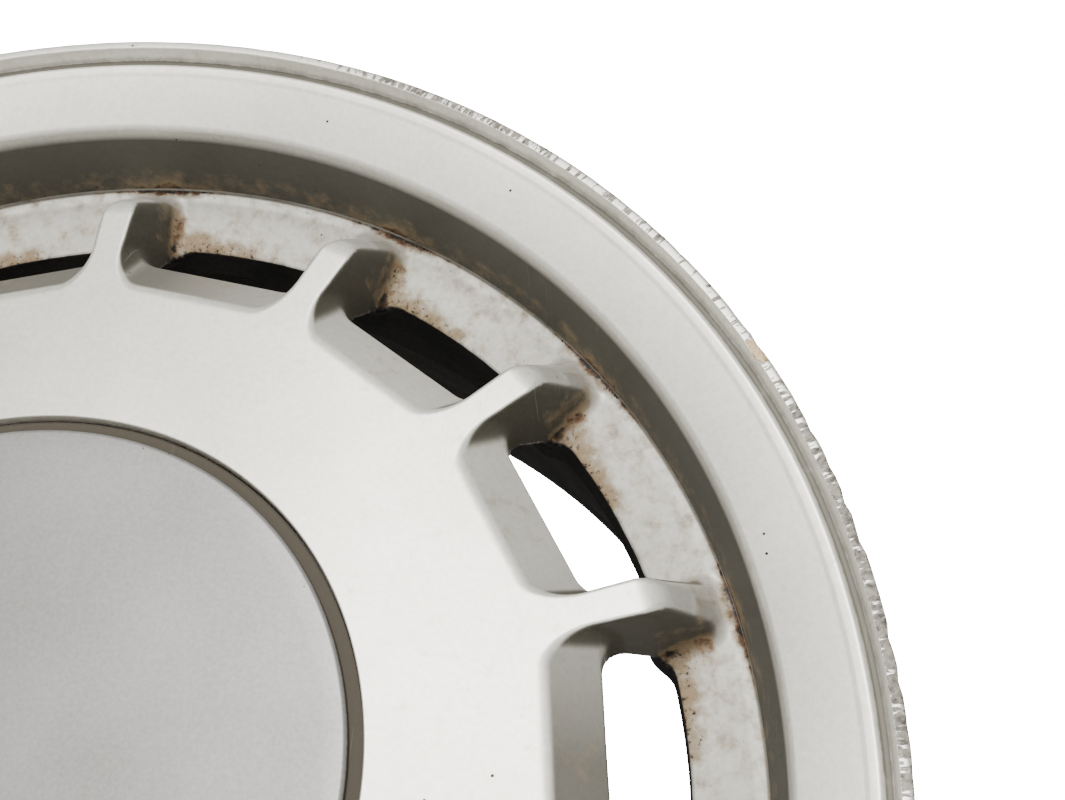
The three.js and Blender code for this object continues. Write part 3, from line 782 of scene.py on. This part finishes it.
fully_dusted_and_shaded = 0.8
casting_finishes = [silver_lacquer(), dust_and_painted_shade(), tyre_seat_lacquer(), faced_alloy()]
for piece, slot_of in ((rim, rim_slot), (spokes, None), (hub, hub_slot)):
    store_wear_and_shade(piece)
    for finish in casting_finishes:
        piece.data.materials.append(finish)
    # faces deep in brake dust and painted shade take the near-black finish
    dust = piece.data.attributes["brake_dust_and_shade"].data
    for face in piece.data.polygons:
        x, y, z = face.center
        if slot_of:
            face.material_index = slot_of(math.hypot(x, z) / MM, (y - front_y) / MM)
        elif min(dust[v].value for v in face.vertices) > fully_dusted_and_shaded:
            face.material_index = dusted_and_shaded
    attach(piece, "wheel")
    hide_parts("wheel_casting")


# ---------------------------------------------------------------- the centre cap
# A moulded ABS cover, flat in front, with a lower flange that sits in the plate's recess and a skirt behind
# that carries the clips. It is painted satin silver, a shade darker than the wheel, and scuffed by handling.
cap_low, cap_high = (Vector(corner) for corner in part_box("centre_cap"))
cap_front = (cap_low.y - front_y) / MM
cap_back = (cap_high.y - front_y) / MM
flange_radius = (cap_high.x - cap_low.x) / 2 / MM
cap_radius = flange_radius - 3.3
cap_step = 2.6
flange_thickness = 2.1
skirt_radius = cap_well_radius - 4.2
skirt_wall = 2.3
cap_line = rounded([
    (0, cap_front), (cap_radius - 14, cap_front), (cap_radius - 6, cap_front), (cap_radius, cap_front, 1.3),
    (cap_radius, cap_front + cap_step, 0.3), (flange_radius, cap_front + cap_step, 0.3),
    (flange_radius, cap_front + cap_step + flange_thickness, 0.3),
    (skirt_radius, cap_front + cap_step + flange_thickness, 0.5), (skirt_radius, cap_back, 0.3),
    (skirt_radius - skirt_wall, cap_back, 0.3), (skirt_radius - skirt_wall, cap_front + cap_step, 1.0),
    (0, cap_front + cap_step),
], steps=6)
cap = turned("centre_cap_moulding", cap_line, 240, closed=False)
outward(cap)

# Stiffening ribs behind the face: one ring and six spokes of thin wall, as the moulding tool leaves them.
rib_depth = 5.0
rib_wall = 1.5
rib_ring = 34.0
rib_top = cap_front + cap_step - 0.2
ring_rib = turned("cap_ring_rib", [(rib_ring, rib_top), (rib_ring + rib_wall, rib_top),
                                   (rib_ring + rib_wall * 0.8, rib_top + rib_depth),
                                   (rib_ring + rib_wall * 0.2, rib_top + rib_depth)], 96)
outward(ring_rib)


def cap_rib(name, angle):
    """One radial rib, drafted, from the ring rib to the skirt."""
    along = Vector((math.cos(angle), 0, math.sin(angle)))
    side = Vector((-math.sin(angle), 0, math.cos(angle)))
    points, half = [], rib_wall / 2
    for out in (rib_ring + rib_wall * 0.5, skirt_radius - skirt_wall + 0.2):
        for depth, width in ((rib_top, half), (rib_top + rib_depth, half * 0.7)):
            points += [along * out + side * width * s + Vector((0, depth, 0)) for s in (-1, 1)]
    faces = [(0, 1, 3, 2), (4, 6, 7, 5), (0, 4, 5, 1), (2, 3, 7, 6), (0, 2, 6, 4), (1, 5, 7, 3)]
    made = mesh_object(name, [tuple(p) for p in points], faces)
    outward(made)
    made.data.polygons.foreach_set("use_smooth", [False] * len(made.data.polygons))
    return made


rib_count = 6
cap_ribs = [cap_rib(f"cap_rib_{k + 1}", math.radians(30 + k * 360 / rib_count)) for k in range(rib_count)]


def cap_paint():
    """Satin silver paint on ABS: mid grey with a fine grain, a soft sheen, a few specks and faint hair
    scratches, and painted shade on its step."""
    made, tree, shader = new_finish("satin_silver_on_moulded_abs", Metallic=0.45)
    place = add(tree, "ShaderNodeTexCoord").outputs["Object"]
    cloud = add(tree, "ShaderNodeTexNoise", {"Vector": place, "Scale": per_mm(45), "Detail": 2.0})
    blotch = add(tree, "ShaderNodeTexNoise",
                 {"Vector": place, "Scale": per_mm(4), "Detail": 4.0, "Roughness": 0.65})
    grain = add(tree, "ShaderNodeTexNoise",
                {"Vector": place, "Scale": per_mm(1.1), "Detail": 3.0, "Roughness": 0.7})
    uneven = add(tree, "ShaderNodeMath", {0: cloud, 1: grain}, operation="ADD")
    tone = add(tree, "ShaderNodeMapRange", {0: uneven, 1: 0.68, 2: 1.32})
    paint = add(tree, "ShaderNodeMix", {0: tone, 6: linear("#7c7b79"), 7: linear("#929190")},
                data_type="RGBA").outputs[2]
    # Painted shade: the cap's step and flange darkened to a brown grey.
    paint, worn = stained(tree, paint, 0.0, linear("#4b463d"), "step_shade", blotch, 0.35)
    hairs = scratches(tree, place, 22, 0.28, -0.5)
    faint = add(tree, "ShaderNodeMath", {0: hairs, 1: 0.05}, operation="MULTIPLY")
    paint = add(tree, "ShaderNodeMix", {0: faint, 6: paint, 7: linear("#dddbd6")},
                data_type="RGBA").outputs[2]
    paint = add(tree, "ShaderNodeMix", {0: specks(tree, place, 6.5, 0.34), 6: paint, 7: linear("#3a3834")},
                data_type="RGBA").outputs[2]
    tree.links.new(paint, shader.inputs["Base Color"])
    rough = add(tree, "ShaderNodeMapRange", {0: worn, 3: 0.46, 4: 0.85})
    tree.links.new(rough.outputs[0], shader.inputs["Roughness"])
    moulded = add(tree, "ShaderNodeTexNoise", {"Vector": place, "Scale": per_mm(0.8), "Detail": 2.0})
    bump = add(tree, "ShaderNodeBump", {"Strength": 0.6, "Distance": 0.02 * MM, "Height": moulded})
    tree.links.new(bump.outputs[0], shader.inputs["Normal"])
    return made


def moulded_abs():
    """Unpainted grey ABS as it left the mould: smooth, slightly waxy, dusty."""
    made, tree, shader = new_finish("moulded_grey_abs", IOR=1.53)
    place = add(tree, "ShaderNodeTexCoord").outputs["Object"]
    dust = add(tree, "ShaderNodeTexNoise", {"Vector": place, "Scale": per_mm(12), "Detail": 4.0})
    colour = add(tree, "ShaderNodeMix", {0: dust, 6: linear("#6f6e6a"), 7: linear("#8b8780")},
                 data_type="RGBA")
    tree.links.new(colour.outputs[2], shader.inputs["Base Color"])
    rough = add(tree, "ShaderNodeMapRange", {0: dust, 3: 0.35, 4: 0.65})
    tree.links.new(rough.outputs[0], shader.inputs["Roughness"])
    return made


def step_shade(made):
    """Stores how much painted shade darkens the step and flange round the cap's face."""
    radius = [math.hypot(v.co.x, v.co.z) / MM for v in made.data.vertices]
    depth = [(v.co.y - front_y) / MM for v in made.data.vertices]
    weight = [float(min(1.0, 1.1 * between(d, cap_front + 0.2,
                                           cap_front + 1.6))) if r > cap_radius - 0.6 else 0.0
              for r, d in zip(radius, depth)]
    made.data.attributes.new("step_shade", "FLOAT", "POINT").data.foreach_set("value", weight)


step_shade(cap)
cap.data.materials.append(cap_paint())
bare_moulding = moulded_abs()
for rib in (ring_rib, *cap_ribs):
    rib.data.materials.append(bare_moulding)
for piece in (cap, ring_rib, *cap_ribs):
    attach(piece, "cap")
    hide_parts("centre_cap")


# ---------------------------------------------------------------- cap clips
# Six bent strips of tempered spring steel, pushed over the cap's skirt to press on the wall of its well.
# They are sheared and bent cold, and their edges are slightly rolled.
def spring_steel():
    """Tempered spring steel: dark grey metal with fine rolling lines and freckles of rust."""
    made, tree, shader = new_finish("tempered_spring_steel", Metallic=1.0)
    place = add(tree, "ShaderNodeTexCoord").outputs["Object"]
    rolled = add(tree, "ShaderNodeVectorMath", {0: place, 1: (1.0, 0.12, 1.0)}, operation="MULTIPLY")
    lines = add(tree, "ShaderNodeTexNoise", {"Vector": rolled, "Scale": per_mm(0.6), "Detail": 3.0})
    spots = add(tree, "ShaderNodeTexNoise",
                {"Vector": place, "Scale": per_mm(2.5), "Detail": 5.0, "Roughness": 0.7})
    rusted = add(tree, "ShaderNodeMapRange", {0: spots, 1: 0.6, 2: 0.68, 4: 0.8},
                 interpolation_type="SMOOTHSTEP")
    steel = add(tree, "ShaderNodeMix", {0: lines, 6: linear("#5f5c58"), 7: linear("#8b8d90")},
                data_type="RGBA").outputs[2]
    colour = add(tree, "ShaderNodeMix", {0: rusted, 6: steel, 7: linear("#5a341b")}, data_type="RGBA")
    tree.links.new(colour.outputs[2], shader.inputs["Base Color"])
    rough = add(tree, "ShaderNodeMapRange", {0: rusted, 1: 0.0, 2: 0.8, 3: 0.34, 4: 0.8})
    tree.links.new(rough.outputs[0], shader.inputs["Roughness"])
    return made


def refinish(name, finish, edge):
    """Gives a CAD piece its finish and softens its edges by a width in millimetres."""
    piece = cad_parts[name]
    piece.data.materials.clear()
    piece.data.materials.append(finish)
    soften = piece.modifiers.new("soft_edge", "BEVEL")
    soften.width, soften.segments, soften.limit_method = edge * MM, 2, "ANGLE"
    return piece


clip_finish = spring_steel()
clip_count = 6
rolled_edge = 0.15
for number in range(1, clip_count + 1):
    refinish(f"cap_clip_{number}", clip_finish, rolled_edge)


# ---------------------------------------------------------------- the valve
# A clamp-in valve: a nickel-plated brass stem through a rubber grommet in the channel floor, held by a washer
# and a hexagon nut in front, with a brass core screwed inside it and a ribbed dust cap over the thread.
valve_tilt = math.atan(floor_slope)
valve_axis = Vector((0, -math.cos(valve_tilt), math.sin(valve_tilt)))
washer_low, washer_high = (Vector(corner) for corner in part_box("valve_washer"))
washer_middle = (washer_low + washer_high) / 2


def span_on_valve(name):
    """Where a CAD piece starts and ends along the valve, in millimetres in front of the washer's middle."""
    along = [(v.co - washer_middle).dot(valve_axis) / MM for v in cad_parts[name].data.vertices]
    return min(along), max(along)


def on_valve(made):
    """Moves a piece turned on the wheel's axis, with depth 0 at the washer's middle, onto the valve."""
    turn_over = Vector((0, 1, 0)).rotation_difference(-valve_axis).to_matrix().to_4x4()
    made.data.transform(Matrix.Translation(washer_middle) @ turn_over @ Matrix.Translation((0, -front_y,
                                                                                            0)))
    outward(made)
    return made


stem_radius = 4.0
stem_start, stem_tip = span_on_valve("valve_stem")
head_radius = 7.5
head_thickness = 3.0
thread_pitch = 0.8
thread_depth = 0.42
thread_step = thread_pitch / 4
bore_in_stem = 2.7
head_front = stem_start + head_thickness
thread_start = span_on_valve("valve_nut")[0]


def screw_thread(r, angle, depth):
    """Cuts a one-start thread into the stem's outside."""
    on_thread = stem_radius - 0.05 < r < stem_radius + 0.05 and -(stem_tip - 0.9) < depth < -thread_start
    turns = (depth / thread_pitch - angle / (2 * math.pi)) % 1
    return r - thread_depth * abs(2 * turns - 1) if on_thread else r


thread_run = np.arange(-(stem_tip - 1.0), -(head_front + 1), thread_step)
stem_line = rounded([
    (1.4, -head_front + head_thickness), (head_radius, -head_front + head_thickness, 0.6),
    (head_radius, -head_front, 0.8), (stem_radius, -head_front, 0.2),
]) + [np.array((stem_radius, d)) for d in thread_run[::-1]] + rounded([
    (stem_radius, -(stem_tip - 0.9)), (stem_radius - 0.6, -stem_tip, 0.1), (bore_in_stem, -stem_tip, 0.1),
    (bore_in_stem, -(stem_tip - 15)), (1.4, -(stem_tip - 16)),
])
stem = on_valve(turned("valve_stem_threaded", stem_line, 40, shape=screw_thread))

nut_start, nut_end = span_on_valve("valve_nut")
nut_corner = 6.9
nut_flat = nut_corner * math.cos(math.pi / 6)
nut_bevel = 0.7


def six_sided(r, angle, depth):
    """Cuts a turned blank to a hexagon, which leaves its bevels as arcs on the flats."""
    from_flat = (angle + math.pi / 6) % (math.pi / 3) - math.pi / 6
    return min(r, nut_flat / math.cos(from_flat)) if r > stem_radius + 1 else r


nut_line = [
    (stem_radius + 0.1, -nut_end), (stem_radius + 0.7, -nut_end), (nut_corner - nut_bevel, -nut_end),
    (nut_corner, -nut_end + nut_bevel * 0.6), (nut_corner, -nut_start - nut_bevel * 0.6),
    (nut_corner - nut_bevel, -nut_start), (stem_radius + 0.1, -nut_start),
]
nut = on_valve(turned("valve_hexagon_nut", nut_line, 72, shape=six_sided))

washer_start, washer_end = span_on_valve("valve_washer")
washer = on_valve(turned("valve_flat_washer", rounded([
    (stem_radius + 0.3, -washer_end), (head_radius, -washer_end, 0.35), (head_radius, -washer_start, 0.2),
    (stem_radius + 0.3, -washer_start), (stem_radius + 0.3, -washer_end),
])[:-1], 64))

grommet_start, grommet_end = span_on_valve("valve_grommet")
grommet_flange = 2.0
grommet_radius = 5.4
grommet = on_valve(turned("valve_rubber_grommet", rounded([
    (stem_radius + 0.1, -grommet_end), (grommet_radius, -grommet_end, 0.4),
    (grommet_radius, -grommet_start - grommet_flange + 0.3, 0.3),
    (head_radius + 0.2, -grommet_start - grommet_flange + 0.3, 0.6),
    (head_radius + 0.2, -grommet_start, 0.6),
    (stem_radius + 0.1, -grommet_start), (stem_radius + 0.1, -grommet_end),
])[:-1], 64))

cap_start, cap_end = span_on_valve("valve_cap")
dust_cap_radius = 5.6
dust_cap_bore = 4.3
grip_ribs = 18
grip_depth = 0.45


def ribbed(r, angle, depth):
    """Grip ribs down the dust cap's side, fading out at its shoulder and its foot."""
    outside = r > dust_cap_radius - 0.3
    fade = float(between(-depth, cap_end - 1.2, cap_end - 2.4) * between(-depth, cap_start + 0.8,
                                                                         cap_start + 1.8))
    groove = (0.5 + 0.5 * math.cos(grip_ribs * angle)) ** 2
    return r - grip_depth * groove * fade if outside else r


side_stations = [(dust_cap_radius, d) for d in np.linspace(-(cap_end - 1.4), -(cap_start + 0.5), 9)]
dust_cap = on_valve(turned("valve_dust_cap_ribbed", rounded([
    (0, -cap_end), (3.2, -cap_end, 0.8), (dust_cap_radius - 1.0, -cap_end, 0.9),
    (dust_cap_radius, -(cap_end - 1.3), 0.6),
]) + [np.array(p) for p in side_stations[1:]] + rounded([
    (dust_cap_radius, -(cap_start + 0.4)), (dust_cap_radius, -cap_start, 0.35),
    (dust_cap_bore, -cap_start, 0.3),
    (dust_cap_bore, -(cap_end - 1.5), 0.5), (0, -(cap_end - 1.5)),
]), 144, closed=False, shape=ribbed))


def nickel_plate():
    """Nickel plate on turned brass: warm grey metal, dulled and speckled with a bloom from road salt."""
    made, tree, shader = new_finish("dull_nickel_plate", Metallic=1.0)
    place = add(tree, "ShaderNodeTexCoord").outputs["Object"]
    bloom = add(tree, "ShaderNodeTexNoise",
                {"Vector": place, "Scale": per_mm(1.6), "Detail": 5.0, "Roughness": 0.7})
    salt = add(tree, "ShaderNodeMapRange", {0: bloom, 1: 0.56, 2: 0.68, 4: 0.7},
               interpolation_type="SMOOTHSTEP")
    colour = add(tree, "ShaderNodeMix", {0: salt, 6: linear("#b3aa9a"), 7: linear("#8d8a83")},
                 data_type="RGBA")
    tree.links.new(colour.outputs[2], shader.inputs["Base Color"])
    rough = add(tree, "ShaderNodeMapRange", {0: salt, 1: 0.0, 2: 0.7, 3: 0.25, 4: 0.7})
    tree.links.new(rough.outputs[0], shader.inputs["Roughness"])
    return made


def turned_brass():
    """Bright turned brass: yellow metal, browned in patches."""
    made, tree, shader = new_finish("turned_brass", Metallic=1.0)
    place = add(tree, "ShaderNodeTexCoord").outputs["Object"]
    tarnish = add(tree, "ShaderNodeTexNoise", {"Vector": place, "Scale": per_mm(1.2), "Detail": 4.0})
    colour = add(tree, "ShaderNodeMix", {0: tarnish, 6: linear("#c9a257"), 7: linear("#8a6a34")},
                 data_type="RGBA")
    tree.links.new(colour.outputs[2], shader.inputs["Base Color"])
    rough = add(tree, "ShaderNodeMapRange", {0: tarnish, 3: 0.22, 4: 0.5})
    tree.links.new(rough.outputs[0], shader.inputs["Roughness"])
    return made


def black_rubber(name, dusty):
    """Moulded rubber or soft black plastic: near black, matt, greyed by dust in its hollows."""
    made, tree, shader = new_finish(name, IOR=1.5, Specular_IOR_Level=0.4)
    place = add(tree, "ShaderNodeTexCoord").outputs["Object"]
    dust = add(tree, "ShaderNodeTexNoise",
               {"Vector": place, "Scale": per_mm(2.2), "Detail": 5.0, "Roughness": 0.65})
    grey = add(tree, "ShaderNodeMapRange", {0: dust, 1: 0.4, 2: 0.75, 4: dusty},
               interpolation_type="SMOOTHSTEP")
    colour = add(tree, "ShaderNodeMix", {0: grey, 6: linear("#151515"), 7: linear("#6d675d")},
                 data_type="RGBA")
    tree.links.new(colour.outputs[2], shader.inputs["Base Color"])
    rough = add(tree, "ShaderNodeMapRange", {0: dust, 3: 0.4, 4: 0.75})
    tree.links.new(rough.outputs[0], shader.inputs["Roughness"])
    grain = add(tree, "ShaderNodeTexNoise", {"Vector": place, "Scale": per_mm(0.4), "Detail": 2.0})
    bump = add(tree, "ShaderNodeBump", {"Strength": 0.5, "Distance": 0.03 * MM, "Height": grain})
    tree.links.new(bump.outputs[0], shader.inputs["Normal"])
    return made


plate_finish = nickel_plate()
brass_finish = turned_brass()
grommet.data.materials.append(black_rubber("aged_black_rubber", 0.5))
dust_cap.data.materials.append(black_rubber("black_nylon", 0.25))
for piece, node_name, slot, body in ((stem, "valve_stem", "plated_brass", "wheel"),
                                     (nut, "valve_nut", "plated_brass", "wheel"),
                                     (washer, "valve_washer", "plated_brass", "wheel"),
                                     (grommet, "valve_grommet", "valve_rubber", "wheel"),
                                     (dust_cap, "valve_cap", "dust_cap_plastic", "dust_cap")):
    if slot == "plated_brass":
        piece.data.materials.append(plate_finish)
    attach(piece, body)
    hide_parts(node_name)
refinish("valve_core", brass_finish, 0.12)
refinish("valve_pin", brass_finish, 0.1)


# ---------------------------------------------------------------- balance weights
# Four die-cast zinc weights in a row, grey with age, stuck inside the barrel by one strip of foam tape.
# Their edges are rounded by the die.
def cast_zinc():
    """Die-cast zinc: dull blue-grey metal with a mottled oxide skin and brake dust in its hollows."""
    made, tree, shader = new_finish("oxidised_zinc", Metallic=0.7)
    place = add(tree, "ShaderNodeTexCoord").outputs["Object"]
    oxide = add(tree, "ShaderNodeTexNoise",
                {"Vector": place, "Scale": per_mm(3.5), "Detail": 5.0, "Roughness": 0.65})
    tone = add(tree, "ShaderNodeMapRange", {0: oxide, 1: 0.35, 2: 0.68})
    colour = add(tree, "ShaderNodeMix", {0: tone, 6: linear("#8d9092"), 7: linear("#55524d")},
                 data_type="RGBA")
    tree.links.new(colour.outputs[2], shader.inputs["Base Color"])
    rough = add(tree, "ShaderNodeMapRange", {0: oxide, 3: 0.45, 4: 0.75})
    tree.links.new(rough.outputs[0], shader.inputs["Roughness"])
    bump = add(tree, "ShaderNodeBump", {"Strength": 0.5, "Distance": 0.08 * MM, "Height": oxide})
    tree.links.new(bump.outputs[0], shader.inputs["Normal"])
    return made


weight_finish = cast_zinc()
weight_count = 4
weight_edge = 0.9
for number in range(1, weight_count + 1):
    refinish(f"balance_weight_{number}", weight_finish, weight_edge).modifiers["soft_edge"].segments = 3
refinish("weight_tape", black_rubber("grey_foam_tape", 0.7), 0.15)


# ---------------------------------------------------------------- stage, light and camera
# The wheel stands on a pale floor in a white room. One broad softbox in front and a little above lights its
# face evenly and leaves the walls of its channel and windows in shade, which their finish deepens with
# painted shade. A larger one behind shows the barrel.
floor_mesh = bpy.data.meshes.new("floor")
floor_reach = 1.1
floor_corners = [(x * floor_reach, y * floor_reach, casting_low.z) for x,
                 y in ((-1, -1), (1, -1), (1, 1), (-1, 1))]
floor_mesh.from_pydata(floor_corners, [], [(0, 1, 2, 3)])
floor = bpy.data.objects.new("floor", floor_mesh)
bpy.context.scene.collection.objects.link(floor)
floor_finish, _, _ = new_finish("pale_floor", Base_Color=linear("#e9e8e6"), Roughness=0.8)
floor_mesh.materials.append(floor_finish)

world = bpy.data.worlds.new("studio")
bpy.context.scene.world = world
world.use_nodes = True
tree = world.node_tree
tree.nodes.clear()
seen = add(tree, "ShaderNodeLightPath").outputs["Is Camera Ray"]
white = add(tree, "ShaderNodeBackground", {"Color": (1, 1, 1, 1), "Strength": 30.0})
fill = add(tree, "ShaderNodeBackground", {"Color": (1, 0.98, 0.94, 1), "Strength": 0.09})
mixed = add(tree, "ShaderNodeMixShader", {0: seen, 1: fill, 2: white})
add(tree, "ShaderNodeOutputWorld", {0: mixed})


def softbox(name, turn, height, distance, size, power):
    """A round softbox facing the wheel's middle, by its angles to the side and up, in degrees."""
    turn, height = math.radians(turn), math.radians(height)
    place = Vector((math.sin(turn) * math.cos(height), -math.cos(turn) * math.cos(height),
                    math.sin(height))) * distance
    light = bpy.data.lights.new(name, "AREA")
    light.shape, light.size, light.energy, light.color = "DISK", size, power, (1, 0.985, 0.95)
    made = bpy.data.objects.new(name, light)
    made.location = place
    made.rotation_euler = (-place).to_track_quat("-Z", "Y").to_euler()
    bpy.context.scene.collection.objects.link(made)


softbox("key", turn=2, height=17, distance=2.0, size=1.0, power=73)
softbox("back", turn=150, height=35, distance=2.2, size=1.6, power=90)

# The camera stands close in front of the wheel's lower right, looking up across its upper right quarter.
camera_place = Vector((0.16132, -0.38789, -0.06625))
camera_target = Vector((0.12179, -0.08445, 0.09722))
camera_roll = math.radians(4.39)
camera_data = bpy.data.cameras.new("camera")
camera_data.sensor_width = 36
camera_data.lens = 47.34
camera = bpy.data.objects.new("camera", camera_data)
bpy.context.scene.collection.objects.link(camera)
aim = (camera_target - camera_place).to_track_quat("-Z", "Y").to_matrix()
camera.matrix_world = Matrix.Translation(camera_place) @ (aim @ Matrix.Rotation(camera_roll, 3,
                                                                                "Z")).to_4x4()
bpy.context.scene.camera = camera
